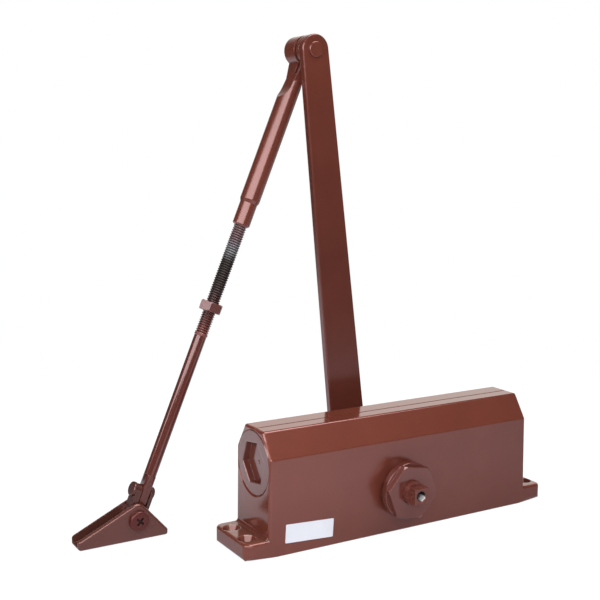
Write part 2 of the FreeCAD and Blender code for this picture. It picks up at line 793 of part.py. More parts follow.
def make_forearm_tube():
    half = fork_width / 2
    tube = rod_z(tube_radius, -tube_end + tube_neck, -fork_radius, 0, 0)
    neck = Part.makeCone(tube_end_radius, tube_radius, 2.0,
                         V(0, 0, -tube_end + tube_neck - 2.0), Z_AXIS)
    end = rod_z(tube_end_radius, -tube_end, -tube_end + tube_neck - 2.0, 0, 0)
    end = end.makeChamfer(0.7, edges_where(
        end, lambda e: e.CenterOfMass.z < -tube_end + 0.01
        and not isinstance(e.Curve, Part.Line)))
    tube = tube.fuse(neck).fuse(end)
    eye = rod_y(fork_radius, -half, half, 0, 0)
    meet = math.sqrt(tube_radius ** 2 - neck_half ** 2)
    flare = face_of([V(0, -half, 0), V(0, half, 0), V(0, half, -fork_radius - 2),
                     V(0, meet, -fork_length), V(0, -meet, -fork_length),
                     V(0, -half, -fork_radius - 2)])
    flare.translate(V(-neck_half, 0, 0))
    flare = flare.extrude(V(2 * neck_half, 0, 0))
    flare = flare.makeFillet(neck_edge_radius, edges_where(
        flare, lambda e: abs(abs(e.CenterOfMass.x) - neck_half) < 0.01
        and abs(e.CenterOfMass.y) > meet and e.CenterOfMass.z < -1
        and abs(e.CenterOfMass.z + fork_length) > 0.5))
    tube = tube.fuse(flare)
    flat = neck_flat(neck_half, neck_length, neck_cutter)
    scoop = mirror_x(neck_flat(scoop_half, scoop_length, scoop_cutter))
    bevel = face_of([V(0, half, -neck_rear_start), V(0, half + 1, -neck_rear_start),
                     V(0, half + 1, -neck_length), V(0, tube_radius, -neck_length + 3),
                     V(0, neck_rear_half, -neck_rear_end)])
    bevel.translate(V(-2 * tube_radius, 0, 0))
    bevel = bevel.extrude(V(4 * tube_radius, 0, 0))
    tube = tube.cut(flat).cut(scoop).cut(bevel)
    tube = tube.fuse(eye)
    slot_start = -half + front_ear
    slot = box(-2 * fork_radius, 2 * fork_radius, slot_start, slot_start + fork_slot,
               -fork_slot_depth + fork_slot / 2, 2 * fork_radius)
    round_end = rod_x(fork_slot / 2, -2 * fork_radius, 2 * fork_radius,
                      slot_start + fork_slot / 2, -fork_slot_depth + fork_slot / 2)
    tube = tube.cut(slot).cut(round_end)
    tube = tube.cut(rod_y(elbow_pin_radius + running_gap, -half - 1, half + 1, 0, 0))
    tube = tube.cut(rod_z(rod_radius + thread_gap, -tube_end - 1, -tube_bore_start, 0, 0))
    return to_forearm(tube)


def make_elbow_washer():
    start = fork_front + front_ear + spacer_gap
    end = fork_front + front_ear + fork_slot - spacer_gap
    ring = rod_y(spacer_radius, start, end, elbow_x, elbow_z)
    return ring.cut(rod_y(elbow_pin_radius + running_gap, start - 1, end + 1,
                          elbow_x, elbow_z))


def make_forearm_rod():
    rod = rod_z(rod_radius, -thread_end, -rod_start, 0, 0)
    rod = rod.makeChamfer(0.6, edges_where(
        rod, lambda e: e.CenterOfMass.z > -rod_start - 0.01
        and not isinstance(e.Curve, Part.Line)))
    rod = rod.fuse(rod_z(shank_radius, -flat_start, -thread_end, 0, 0))
    end = box(-rod_flat / 2, rod_flat / 2, -rod_flat_width / 2, rod_flat_width / 2,
              -rod_end, -flat_start)
    end = end.makeFillet(1.6, edges_where(end, lambda e: straight_along(e, Z_AXIS)))
    end = end.makeFillet(0.8, edges_where(end, lambda e: e.CenterOfMass.z < -rod_end + 0.01))
    rod = rod.fuse(end)
    rod = rod.cut(rod_x(knuckle_pin_radius + running_gap, -rod_flat, rod_flat, 0,
                        -knuckle_pin_position))
    return to_forearm(rod)


def make_lock_nut():
    low = -nut_position - nut_thickness / 2
    nut = hexagon(nut_hex, 0.0, lambda u, v: V(u, v, low)).extrude(V(0, 0, nut_thickness))
    corner = nut_hex / 2 / math.cos(math.pi / 6)
    face = corner - nut_chamfer
    middle = face + nut_thickness / 2
    round_off = Part.makeCone(face, middle, nut_thickness / 2, V(0, 0, low), Z_AXIS)
    upper = Part.makeCone(middle, face, nut_thickness / 2,
                          V(0, 0, low + nut_thickness / 2), Z_AXIS)
    nut = nut.common(round_off.fuse(upper))
    nut = nut.cut(rod_z(rod_radius + thread_gap, low - 1, low + nut_thickness + 1, 0, 0))
    return to_forearm(nut)


# ---------------------------------------------------------------- knuckle
def make_knuckle():
    half = knuckle_width / 2
    shape = box(-head_ear_face, tail_ear_face, -half, half, -forearm_length, -knuckle_base)
    eye = rod_y(knuckle_eye_radius, -half, half, 0, -forearm_length)
    shape = shape.fuse(eye)
    reach = ear_width / 2
    for low_x, high_x in ((-head_ear_face, -knuckle_half_gap),
                          (knuckle_half_gap, tail_ear_face)):
        ear = box(low_x, high_x, -reach, reach, -forearm_length, -knuckle_pin_position)
        ear = ear.fuse(rod_x(reach, low_x, high_x, 0, -knuckle_pin_position))
        shape = shape.fuse(ear)
    shape = shape.cut(box(-knuckle_half_gap, knuckle_half_gap, -half - 1, half + 1,
                          -knuckle_base, -knuckle_pin_position + 2 * half))
    shape = shape.cut(rod_x(knuckle_pin_radius + static_gap, -head_ear_face - 1,
                            tail_ear_face + 1, 0, -knuckle_pin_position))
    shape = shape.cut(rod_y(shoe_screw_radius + running_gap, -half - 1, half + 1, 0,
                            -forearm_length))
    return to_forearm(shape)


def make_knuckle_pin():
    pin = rod_x(knuckle_pin_radius, -head_ear_face, tail_ear_face, 0, -knuckle_pin_position)
    ends = ((-head_ear_face - knuckle_head_height, -head_ear_face, knuckle_head_radius, -1),
            (tail_ear_face, tail_ear_face + knuckle_tail_height, knuckle_tail_radius, 1))
    for start, end, radius, side in ends:
        head = rod_x(radius, start, end, 0, -knuckle_pin_position)
        top = end if side > 0 else start
        head = head.makeFillet(rivet_edge * (end - start), [
            e for e in head.Edges if abs(e.CenterOfMass.x - top) < 0.01
            and not isinstance(e.Curve, Part.Line)])
        pin = pin.fuse(head)
    return to_forearm(pin)


# ---------------------------------------------------------------- shoe
def make_shoe():
    left = shoe_x - shoe_left
    right = shoe_x + shoe_right
    apex = V(shoe_x + shoe_apex_shift, 0, shoe_apex_height)
    outline = [V(left, 0, 0), V(right, 0, 0), V(right, 0, shoe_heel_height), apex,
               V(left, 0, shoe_tip_height)]
    small = shoe_corner_radius
    side = rounded_face(outline, [small * 0.8, small * 0.6, small * 0.6,
                                  shoe_apex_radius, small * 0.8])
    side.translate(V(0, shoe_front, 0))
    solid = side.extrude(V(0, shoe_width, 0))
    solid = solid.makeFillet(shoe_fold_radius, edges_where(
        solid, lambda e: e.CenterOfMass.z < 0.01 and straight_along(e, X_AXIS)))
    hollow = box(left - 1, right + 1, shoe_front + shoe_sheet, shoe_back - shoe_sheet,
                 shoe_sheet, shoe_apex_height + 1)
    solid = solid.cut(hollow)
    for x in (shoe_x - shoe_hole_left, shoe_x + shoe_hole_right):
        solid = solid.cut(rod_z(shoe_hole_radius, -1, shoe_sheet + 1, x, forearm_y))
    return solid.cut(rod_y(shoe_screw_radius + static_gap, shoe_front - 1, shoe_back + 1,
                           shoe_x, shoe_screw_height))


def make_shoe_screw():
    face = shoe_front - shoe_head_height
    head = rod_y(shoe_head_radius, face, shoe_front, shoe_x, shoe_screw_height)
    head = head.makeFillet(1.3, edges_where(
        head, lambda e: e.CenterOfMass.y < face + 0.01 and not isinstance(e.Curve, Part.Line)))
    long = cross_length / 2
    thin = cross_width / 2
    for half_x, half_z in ((long, thin), (thin, long)):
        slot = box(shoe_x - half_x, shoe_x + half_x, face - 1, face + cross_depth,
                   shoe_screw_height - half_z, shoe_screw_height + half_z)
        slot.rotate(V(shoe_x, 0, shoe_screw_height), Y_AXIS, cross_turn_deg)
        head = head.cut(slot)
    tail = shoe_back + shoe_nut_thickness + shoe_screw_tail
    return head.fuse(rod_y(shoe_screw_radius, shoe_front, tail, shoe_x, shoe_screw_height))


def make_shoe_nut():
    nut = hexagon(shoe_nut_hex, 0.0, lambda u, v: V(shoe_x + u, shoe_back,
                                                   shoe_screw_height + v))
    nut = nut.extrude(V(0, shoe_nut_thickness, 0))
    return nut.cut(rod_y(shoe_screw_radius + static_gap, shoe_back - 1,
                         shoe_back + shoe_nut_thickness + 1, shoe_x, shoe_screw_height))


# ---------------------------------------------------------------- build
os.makedirs("parts", exist_ok=True)
save("housing", make_housing())
save("label_plate", make_label())
save("left_plug", mirror_x(make_plug(True)))
save("right_plug", make_plug(False))
save("plug_seals", make_plug_seals())
rear_cap = make_cap()
save("rear_cap", rear_cap)
save("front_cap", mirror_y(rear_cap))
save("spindle_bearings", make_bearings())
save("spindle_seals", make_spindle_seals())
save("pinion", make_pinion())
save("piston", make_piston())
save("piston_ring", make_piston_ring())
save("check_valve", make_check_valve())
save("closing_spring", make_spring())
save("sweep_valve", make_valve(-valve_spread / 2))
save("latch_valve", make_valve(valve_spread / 2))
save("main_arm", make_arm())
save("arm_washer", make_arm_washer())
save("arm_screw", make_arm_screw())
save("elbow_pin", make_elbow_pin())
save("forearm_tube", make_forearm_tube())
save("elbow_washer", make_elbow_washer())
save("forearm_rod", make_forearm_rod())
save("lock_nut", make_lock_nut())
save("knuckle", make_knuckle())
save("knuckle_pin", make_knuckle_pin())
save("shoe", make_shoe())
save("shoe_screw", make_shoe_screw())
save("shoe_nut", make_shoe_nut())
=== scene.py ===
import json
import math
import bpy
import numpy as np
from mathutils import Matrix, Vector


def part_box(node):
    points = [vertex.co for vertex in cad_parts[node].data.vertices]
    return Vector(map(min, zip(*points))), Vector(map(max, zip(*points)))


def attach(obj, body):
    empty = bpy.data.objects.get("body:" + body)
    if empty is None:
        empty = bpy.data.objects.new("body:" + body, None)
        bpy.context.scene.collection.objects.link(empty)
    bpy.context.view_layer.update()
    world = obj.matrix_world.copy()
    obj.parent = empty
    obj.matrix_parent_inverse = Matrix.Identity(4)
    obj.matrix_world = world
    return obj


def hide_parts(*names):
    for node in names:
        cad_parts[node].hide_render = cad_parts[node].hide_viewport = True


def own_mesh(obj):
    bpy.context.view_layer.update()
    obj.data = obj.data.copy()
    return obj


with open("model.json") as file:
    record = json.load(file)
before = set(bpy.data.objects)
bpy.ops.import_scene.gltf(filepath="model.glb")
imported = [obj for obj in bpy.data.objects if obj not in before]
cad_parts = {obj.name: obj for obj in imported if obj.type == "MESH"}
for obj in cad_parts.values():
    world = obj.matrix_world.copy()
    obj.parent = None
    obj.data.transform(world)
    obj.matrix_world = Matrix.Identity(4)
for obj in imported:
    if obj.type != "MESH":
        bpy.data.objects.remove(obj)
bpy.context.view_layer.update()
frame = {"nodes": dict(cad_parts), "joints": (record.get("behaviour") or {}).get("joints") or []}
NODES = frame["nodes"]
JOINTS = {j["name"]: j for j in frame["joints"]}

# ---------------------------------------------------------------- places, all in metres
spindle = Vector(JOINTS["spindle_turn"]["pos_m"])
elbow = Vector(JOINTS["elbow_swing"]["pos_m"])
shoe_pivot = Vector(JOINTS["shoe_swing"]["pos_m"])
forearm_axis = Vector(JOINTS["rod_adjust"]["axis"]).normalized()
side_axis = Vector((0, 1, 0)).cross(forearm_axis).normalized()
forearm_turn = Matrix((side_axis, (0, 1, 0), forearm_axis)).transposed().to_4x4()
FOREARM = Matrix.Translation(elbow) @ forearm_turn
bore_height = (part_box("left_plug")[0].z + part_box("left_plug")[1].z) / 2
screw_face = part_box("shoe_screw")[0][1]


def in_forearm(name):
    """The vertices of a CAD node in the forearm's own frame, which has its Z along the rod."""
    inverse = FOREARM.inverted()
    return np.array([inverse @ v.co for v in NODES[name].data.vertices])


def between(points, low, high):
    """The points whose Z lies between two values."""
    return points[(points[:, 2] > low) & (points[:, 2] < high)]


def radii(points):
    """How far each point is from the Z axis."""
    return np.hypot(points[:, 0], points[:, 1])


ROD_END = 0.002          # this close to the rod's upper end, all is thread
FLAT_END = 0.001         # this close to its lower end, all is flattened
FLAT_REACH = 0.012       # the flattened end is shorter than this
THREAD_START = 0.030     # the thread starts higher than this above the lower end
THREAD_GAP = 0.0005      # room left under the thread where the plain shank is measured
FLAT_TO_THREAD = 0.010   # the flattened end stays this far below the thread
ROUNDING = 3e-5          # points of one radius agree this well
FLAT_STEP = 3e-4         # the flattened end stands out from the shank by more than this
TUBE_NECK = -0.045       # the tube is round and plain below this
TUBE_MOUTH = 0.012       # and above its mouth by this

rod = in_forearm("forearm_rod")
rod_top = rod[:, 2].max()
rod_bottom = rod[:, 2].min()
major = radii(between(rod, rod_top - ROD_END, math.inf)).max()
end_ring = between(rod, -math.inf, rod_bottom + FLAT_END)
flat_half = np.abs(end_ring[:, 0]).max()
flat_wide = np.abs(end_ring[:, 1]).max()
upper_rod = between(rod, rod_bottom + THREAD_START, math.inf)
thread_low = upper_rod[np.abs(radii(upper_rod) - major) < ROUNDING][:, 2].min()
shank = radii(between(rod, rod_bottom + FLAT_REACH, thread_low - THREAD_GAP)).min()
lower_rod = between(rod, -math.inf, thread_low - FLAT_TO_THREAD)
flat_top = lower_rod[radii(lower_rod) > shank + FLAT_STEP][:, 2].max()
tube = in_forearm("forearm_tube")
tube_radius = radii(between(tube, tube[:, 2].min() + TUBE_MOUTH, TUBE_NECK)).max()


# ---------------------------------------------------------------- nodes
def new_material(name):
    material = bpy.data.materials.new(name)
    material.use_nodes = True
    tree = material.node_tree
    return material, tree, tree.nodes["Principled BSDF"]


def node(tree, kind, **values):
    made = tree.nodes.new(kind)
    for key, value in values.items():
        setattr(made, key, value)
    return made


def noise(tree, vector, scale, detail, roughness):
    made = node(tree, "ShaderNodeTexNoise")
    made.inputs["Scale"].default_value = scale
    made.inputs["Detail"].default_value = detail
    made.inputs["Roughness"].default_value = roughness
    tree.links.new(vector, made.inputs["Vector"])
    return made.outputs["Fac"]


def ramp(tree, value, stops):
    made = node(tree, "ShaderNodeValToRGB")
    tree.links.new(value, made.inputs["Fac"])
    elements = made.color_ramp.elements
    while len(elements) < len(stops):
        elements.new(0.5)
    for element, (place, colour) in zip(elements, stops):
        element.position = place
        element.color = (*colour, 1)
    return made.outputs["Color"]


def span(tree, value, low, high, out_low, out_high):
    """A value carried from one range to another, and held at its ends."""
    made = node(tree, "ShaderNodeMapRange")
    tree.links.new(value, made.inputs["Value"])
    ends = (("From Min", low), ("From Max", high), ("To Min", out_low), ("To Max", out_high))
    for name, number in ends:
        made.inputs[name].default_value = number
    return made.outputs["Result"]


def rise(tree, value, start, full):
    """0 at start, 1 at full: full may be the lower of the two."""
    return span(tree, value, start, full, 0.0, 1.0)


def drift(tree, texture, low, high):
    """A number that wanders between two values as a noise texture does."""
    return span(tree, texture, 0.3, 0.7, low, high)


def maths(tree, operation, *values):
    made = node(tree, "ShaderNodeMath", operation=operation)
    for socket, value in zip(made.inputs, values):
        if isinstance(value, (int, float)):
            socket.default_value = value
        else:
            tree.links.new(value, socket)
    return made.outputs["Value"]


def chain(tree, operation, values):
    made = values[0]
    for value in values[1:]:
        made = maths(tree, operation, made, value)
    return made


def product(tree, *values):
    return chain(tree, "MULTIPLY", values)


def total(tree, *values):
    return chain(tree, "ADD", values)


def most(tree, *values):
    return chain(tree, "MAXIMUM", values)


def absolute(tree, value):
    return maths(tree, "ABSOLUTE", value)


def rest(tree, value):
    """What a share leaves of the whole."""
    return maths(tree, "SUBTRACT", 1.0, value)


def mix_colour(tree, factor, a, b):
    made = node(tree, "ShaderNodeMix", data_type="RGBA")
    tree.links.new(factor, made.inputs[0])
    for socket, value in ((made.inputs[6], a), (made.inputs[7], b)):
        if isinstance(value, tuple):
            socket.default_value = (*value, 1)
        else:
            tree.links.new(value, socket)
    return made.outputs[2]


def times(tree, colour, value):
    """A colour scaled by a value or by another colour."""
    made = node(tree, "ShaderNodeMix", data_type="RGBA", blend_type="MULTIPLY")
    made.inputs[0].default_value = 1.0
    tree.links.new(colour, made.inputs[6])
    tree.links.new(value, made.inputs[7])
    return made.outputs[2]


def shades(tree, texture, colour, darkest, lightest=1.0):
    """A colour that a noise texture takes from a darker to a lighter shade of itself."""
    dark = tuple(c * darkest for c in colour)
    light = tuple(min(1, c * lightest) for c in colour)
    return ramp(tree, texture, [(0.3, dark), (0.7, light)])


def place_of(tree):
    return node(tree, "ShaderNodeTexCoord").outputs["Object"]


def axes(tree, vector):
    split = node(tree, "ShaderNodeSeparateXYZ")
    tree.links.new(vector, split.inputs[0])
    return split.outputs


def apart(tree, a, b, centre_a=0.0, centre_b=0.0):
    """The distance from a line along the third axis."""
    da = maths(tree, "SUBTRACT", a, centre_a)
    db = maths(tree, "SUBTRACT", b, centre_b)
    return maths(tree, "SQRT", total(tree, product(tree, da, da), product(tree, db, db)))


def relief(tree, shader, height, distance, strength, edge):
    """Fine relief over edges that catch the light as if rounded to the given radius."""
    soft = node(tree, "ShaderNodeBevel", samples=6)
    soft.inputs["Radius"].default_value = edge
    bump = node(tree, "ShaderNodeBump")
    bump.inputs["Strength"].default_value = strength
    bump.inputs["Distance"].default_value = distance
    tree.links.new(height, bump.inputs["Height"])
    tree.links.new(soft.outputs["Normal"], bump.inputs["Normal"])
    tree.links.new(bump.outputs["Normal"], shader.inputs["Normal"])
    return soft


# ---------------------------------------------------------------- enamel
WARM = (1.0, 0.72, 0.75)         # tint of the enamel's own gloss
NEUTRAL = (1.0, 0.98, 1.0)       # and of its whiter gloss
WHITE = (1.0, 1.0, 1.0)
PAINTED_LUG_TOP_LIGHT = (0.98, 1.38, 1.50)       # painted light: greyer, lighter tone on top of the lugs, for the reflection they catch
FLAKE = 0.2                      # metallic share of the enamel
COAT = 0.06
COAT_ON_EDGES = 1.0
TURN_START = 0.995               # cosine of the turn of a rounded edge where its look starts
TURN_COATED = 0.93               # where its coat is full
TURN_WHITE = 0.95                # where its whiter gloss is
HARD_COAT_IOR = 1.9
COAT_ROUGHNESS = 0.12
GLOSS_DRIFT = 0.02               # how far the roughness wanders either way
SLOPE_ROUGHER = 0.04             # added to it on the housing's shoulders and sides
SIDE_ROUGHER = 0.07              # and again on its sides
DULL = 0.15                      # specular level of dull enamel
SEAM_DULLNESS = 0.8              # how far the groove along the top goes towards it
HOLE_DULLNESS = 0.55

# Where a look starts and where it is full: shares of a normal along one axis.
LEVEL = (0.95, 0.98)
SLOPED = (0.50, 0.60)
UPRIGHT = (0.80, 0.90)
END_ON = (0.90, 0.97)

# The same for places on the housing, in metres.
HOLE_CENTRE = (0.1016, 0.009525)
IN_HOLE = (0.0053, 0.0052)               # from a screw hole's axis
UNDER_LUG_TOP = (0.0105, 0.0100)         # the lugs are 10 mm thick
LUGS_ONLY = (0.0140, 0.0130)             # below this, what faces up is a lug
SEAM_Y = -0.0015                         # the groove along the top
IN_SEAM = (0.0014, 0.0010)               # from its middle
ON_CREST = (0.0690, 0.0692)
OUTSIDE_PLUG = (0.01875, 0.01885)        # from the cylinder's axis
INSIDE_MOUTH = (0.02055, 0.02045)
NEAR_END_FACE = (0.0890, 0.0900)
SHOULDER_END_X = (0.0875, 0.0885)
SHOULDER_END_Z = (0.053, 0.055)
LUG_EDGE_X = (0.0925, 0.0935)
LUG_EDGE_LOW = (0.0070, 0.0080)
LUG_EDGE_HIGH = (0.0120, 0.0110)
WIDER_EDGE = 0.0006                      # added to the edge's radius at shoulder ends and lugs
CREST_EDGE = 0.00005                     # the crest's edges are sharp


def screw_holes(tree, spot):
    """The walls of the four screw holes in the lugs."""
    across = apart(tree, absolute(tree, spot["X"]), absolute(tree, spot["Y"]), *HOLE_CENTRE)
    return product(tree, rise(tree, across, *IN_HOLE), rise(tree, spot["Z"], *UNDER_LUG_TOP))


def seam(tree, spot, crest):
    """The groove along the top."""
    aside = absolute(tree, total(tree, spot["Y"], -SEAM_Y))
    return product(tree, rise(tree, aside, *IN_SEAM), crest)


def plug_gap(tree, spot, end_faces, flank):
    """The bevelled gap round an end plug."""
    reach = apart(tree, spot["Y"], spot["Z"], 0.0, bore_height)
    return product(tree, rise(tree, reach, *OUTSIDE_PLUG), rise(tree, reach, *INSIDE_MOUTH),
                   rest(tree, end_faces), rise(tree, absolute(tree, spot["X"]), *NEAR_END_FACE),
                   span(tree, flank, *UPRIGHT, 1.0, 0.0))


def edge_width(tree, spot, crest, edge):
    """The radius that the housing's edges seem rounded to."""
    outward = absolute(tree, spot["X"])
    shoulder_end = product(tree, rise(tree, outward, *SHOULDER_END_X),
                           rise(tree, spot["Z"], *SHOULDER_END_Z))
    lug_height = product(tree, rise(tree, spot["Z"], *LUG_EDGE_LOW),
                         rise(tree, spot["Z"], *LUG_EDGE_HIGH))
    lug_edge = product(tree, rise(tree, outward, *LUG_EDGE_X), lug_height)
    wider = product(tree, most(tree, shoulder_end, lug_edge), WIDER_EDGE)
    return total(tree, span(tree, crest, 0.0, 1.0, edge, CREST_EDGE), wider)


def paint(name, colour, gloss, edge, shade=None, shine=1.0, tint=WARM, housing=False, lustre=None):
    """Stoved gloss enamel: a little uneven in tone, with a fine orange peel."""
    material, tree, shader = new_material(name)
    place = place_of(tree)
    surface = node(tree, "ShaderNodeNewGeometry")
    peel = noise(tree, place, 420, 3, 0.6)
    speck = span(tree, noise(tree, place, 2600, 2, 0.5), 0.35, 0.65, 0.98, 1.02)
    tone = times(tree, shades(tree, noise(tree, place, 30, 3, 0.5), colour, 0.94, 1.06), speck)
    rough = drift(tree, peel, gloss - GLOSS_DRIFT, gloss + GLOSS_DRIFT)
    shader.inputs["Metallic"].default_value = FLAKE
    shader.inputs["Specular IOR Level"].default_value = shine
    shader.inputs["Specular Tint"].default_value = (*tint, 1)
    shader.inputs["Coat Roughness"].default_value = COAT_ROUGHNESS
    soft = relief(tree, shader, peel, 0.00002, 0.10, edge)
    bend = node(tree, "ShaderNodeVectorMath", operation="DOT_PRODUCT")
    tree.links.new(soft.outputs["Normal"], bend.inputs[0])
    tree.links.new(surface.outputs["Normal"], bend.inputs[1])
    on_edge = span(tree, bend.outputs["Value"], TURN_START, TURN_COATED, COAT, COAT_ON_EDGES)
    tree.links.new(on_edge, shader.inputs["Coat Weight"])
    # painted light and shade, for the pieces that have it
    if shade:
        tone = times(tree, tone, shade(tree, place))
    if lustre:
        tree.links.new(lustre(tree, place), shader.inputs["Specular IOR Level"])
    if housing:
        spot = axes(tree, place)
        facing = axes(tree, surface.outputs["True Normal"])
        # painted light: what faces up on the lugs takes a greyer, lighter tone, for the reflection
        # it catches
        lit_lug_tops = product(tree, rise(tree, facing["Z"], *LEVEL),
                           rise(tree, spot["Z"], *LUGS_ONLY))
        tone = times(tree, tone, mix_colour(tree, lit_lug_tops, WHITE, PAINTED_LUG_TOP_LIGHT))
        flank = absolute(tree, facing["Y"])
        rough = total(tree, rough, span(tree, flank, *SLOPED, 0.0, SLOPE_ROUGHER),
                      span(tree, flank, *UPRIGHT, 0.0, SIDE_ROUGHER))
        end_faces = rise(tree, absolute(tree, facing["X"]), *END_ON)
        holes = screw_holes(tree, spot)
        crest = rise(tree, spot["Z"], *ON_CREST)
        dull = most(tree, plug_gap(tree, spot, end_faces, flank),
                    product(tree, seam(tree, spot, crest), SEAM_DULLNESS),
                    product(tree, holes, HOLE_DULLNESS))
        tree.links.new(span(tree, dull, 0.0, 1.0, shine, DULL), shader.inputs["Specular IOR Level"])
        tree.links.new(edge_width(tree, spot, crest, edge), soft.inputs["Radius"])
        turned = rise(tree, bend.outputs["Value"], TURN_START, TURN_WHITE)
        tree.links.new(span(tree, turned, 0.0, 1.0, FLAKE, 0.0), shader.inputs["Metallic"])
        whiter = mix_colour(tree, most(tree, end_faces, holes, turned), tint, NEUTRAL)
        tree.links.new(whiter, shader.inputs["Specular Tint"])
        shader.inputs["Coat IOR"].default_value = HARD_COAT_IOR
    tree.links.new(tone, shader.inputs["Base Color"])
    tree.links.new(rough, shader.inputs["Roughness"])
    return material


# Places on the smaller pieces, in metres, and what the enamel's tone (painted shade) or gloss is
# multiplied by.
ARM_HEIGHTS = (0.16, 0.27)
# painted shade at those heights
ARM_PAINTED_SHADE = (0.74, 0.96)
NECK_HIGH = (-0.0150, -0.0170)           # the scooped neck, along the forearm
NECK_LOW = (-0.0420, -0.0400)
NECK_CUT = (0.0002, 0.0005)              # its depth under the tube's round surface
NECK_GLOSS = 0.30
CHANNEL_WALL = (0.0045, 0.0049)          # from the middle of the shoe's channel
# painted shade on the channel's inner walls
CHANNEL_PAINTED_SHADE = 0.70
RECESS_DEPTHS = (0.0001, 0.0007)         # from the face of the shoe's screw
RECESS_REACH = (0.0034, 0.0030)          # from its axis
# painted shade deep in the recess
RECESS_PAINTED_SHADE = 0.25


def arm_painted_shade(tree, place):
    """Painted shade: the enamel darker towards the arm's lower end."""
    return span(tree, axes(tree, place)["Z"], *ARM_HEIGHTS, *ARM_PAINTED_SHADE)


def tube_lustre(tree, place):
    """Duller enamel in the scooped neck under the tube's eye."""
    own = node(tree, "ShaderNodeMapping", vector_type="TEXTURE")
    own.inputs["Location"].default_value = FOREARM.translation
    own.inputs["Rotation"].default_value = FOREARM.to_euler()
    tree.links.new(place, own.inputs["Vector"])
    spot = axes(tree, own.outputs["Vector"])
    reach = apart(tree, spot["X"], spot["Y"])
    cut = rise(tree, reach, tube_radius - NECK_CUT[0], tube_radius - NECK_CUT[1])
    neck = product(tree, rise(tree, spot["Z"], *NECK_HIGH), rise(tree, spot["Z"], *NECK_LOW))
    return span(tree, product(tree, cut, neck), 0.0, 1.0, 1.0, NECK_GLOSS)


def shoe_painted_shade(tree, place):
    """Painted shade inside the channel, where the shoe's walls face each other."""
    aside = absolute(tree, maths(tree, "SUBTRACT", axes(tree, place)["Y"], elbow.y))
    return span(tree, aside, *CHANNEL_WALL, CHANNEL_PAINTED_SHADE, 1.0)


def screw_painted_shade(tree, place):
    """Painted shade: darker in the cross recess."""
    spot = axes(tree, place)
    depth = span(tree, spot["Y"], screw_face + RECESS_DEPTHS[0], screw_face + RECESS_DEPTHS[1],
                 1.0, RECESS_PAINTED_SHADE)
    reach = apart(tree, spot["X"], spot["Z"], shoe_pivot.x, shoe_pivot.z)
    return most(tree, depth, rest(tree, rise(tree, reach, *RECESS_REACH)))


BODY_ENDS = (-0.10, 0.09)                # X from the left end to the right
SIDE_PAINTED_LIGHT = (1.04, 0.78)                # painted light and shade: tones at those ends
# painted light on the shoulders, lighter to the left
SHOULDER_PAINTED_LIGHT = (1.18, 0.98)
SHOULDER_FOOT = (0.0545, 0.0560)
ON_LUG = (0.0945, 0.0960)
LUG_TOP_LOW = (0.0092, 0.0098)
LUG_TOP_HIGH = (0.0125, 0.0115)
# painted light on the lug tops
LUG_TOP_PAINTED_LIGHT = 0.35


def body_painted_light(tree, place):
    """Painted light and shade: lighter towards the left end, above the sides and on the lug tops,
    darker towards the right end.
    """
    spot = axes(tree, place)
    upper = rise(tree, spot["Z"], *SHOULDER_FOOT)
    side = product(tree, span(tree, spot["X"], *BODY_ENDS, *SIDE_PAINTED_LIGHT), rest(tree, upper))
    shoulder = product(tree, upper, span(tree, spot["X"], *BODY_ENDS, *SHOULDER_PAINTED_LIGHT))
    lit_lug_tops = product(tree, rise(tree, absolute(tree, spot["X"]), *ON_LUG),
                       rise(tree, spot["Z"], *LUG_TOP_LOW), rise(tree, spot["Z"], *LUG_TOP_HIGH))
    return total(tree, side, shoulder, product(tree, lit_lug_tops, LUG_TOP_PAINTED_LIGHT))


# ---------------------------------------------------------------- metal, rubber and film
def steel(name, colour, rough=0.32, grain=(700, 700, 6000)):
    """Turned or plated steel: fine grain lines across it, and cloudy roughness."""
    material, tree, shader = new_material(name)
    place = place_of(tree)
    mapping = node(tree, "ShaderNodeMapping")
    mapping.inputs["Scale"].default_value = grain
    tree.links.new(place, mapping.inputs["Vector"])
    lines = noise(tree, mapping.outputs["Vector"], 1.0, 3, 0.6)
    cloud = noise(tree, place, 160, 4, 0.6)
    tree.links.new(shades(tree, cloud, colour, 0.75), shader.inputs["Base Color"])
    shader.inputs["Metallic"].default_value = 1.0
    mixed = total(tree, drift(tree, lines, rough - 0.08, rough + 0.06),
                  drift(tree, cloud, -0.03, 0.05))
    tree.links.new(mixed, shader.inputs["Roughness"])
    relief(tree, shader, lines, 0.00004, 0.5, 0.0002)
    return material


def plain(name, colour, rough, scale, depth, sheen=0.0):
    """Moulded rubber, plastic or printed film with a fine surface."""
    material, tree, shader = new_material(name)
    place = place_of(tree)
    fine = noise(tree, place, scale, 4, 0.6)
    cloud = noise(tree, place, scale / 14, 3, 0.5)
    tree.links.new(shades(tree, cloud, colour, 0.95), shader.inputs["Base Color"])
    tree.links.new(drift(tree, fine, rough - 0.06, rough + 0.06), shader.inputs["Roughness"])
    shader.inputs["Sheen Weight"].default_value = sheen
    relief(tree, shader, fine, depth, 0.4, 0.0001)
    return material


# The rod's tones by share of the way between two heights along the forearm: enamel, a dark
# thread, bare steel, and enamel again.
ROD_RANGE = (-0.200, -0.100)
ROD_TONES = [
    (0.22, (0.135, 0.034, 0.025)), (0.33, (0.068, 0.023, 0.019)), (0.45, (0.046, 0.026, 0.024)),
    (0.52, (0.036, 0.030, 0.0275)), (0.655, (0.031, 0.028, 0.0255)), (0.715, (0.18, 0.185, 0.19)),
    (0.755, (0.19, 0.175, 0.195)), (0.80, (0.16, 0.10, 0.11)), (0.90, (0.140, 0.072, 0.072))]
BARE_LOW = (-0.164, -0.150)          # heights where the thread turns bare, from either end
BARE_HIGH = (-0.112, -0.120)
THREAD_DEPTHS = (0.00350, 0.00395)   # radii from the thread's root to its crest
THREAD_PAINTED_LIGHT = (0.22, 1.15)                 # painted shade at the root and painted highlight at the crest: tones at those radii
FLAT_END_TONE = 0.62                    # tone of the flattened end


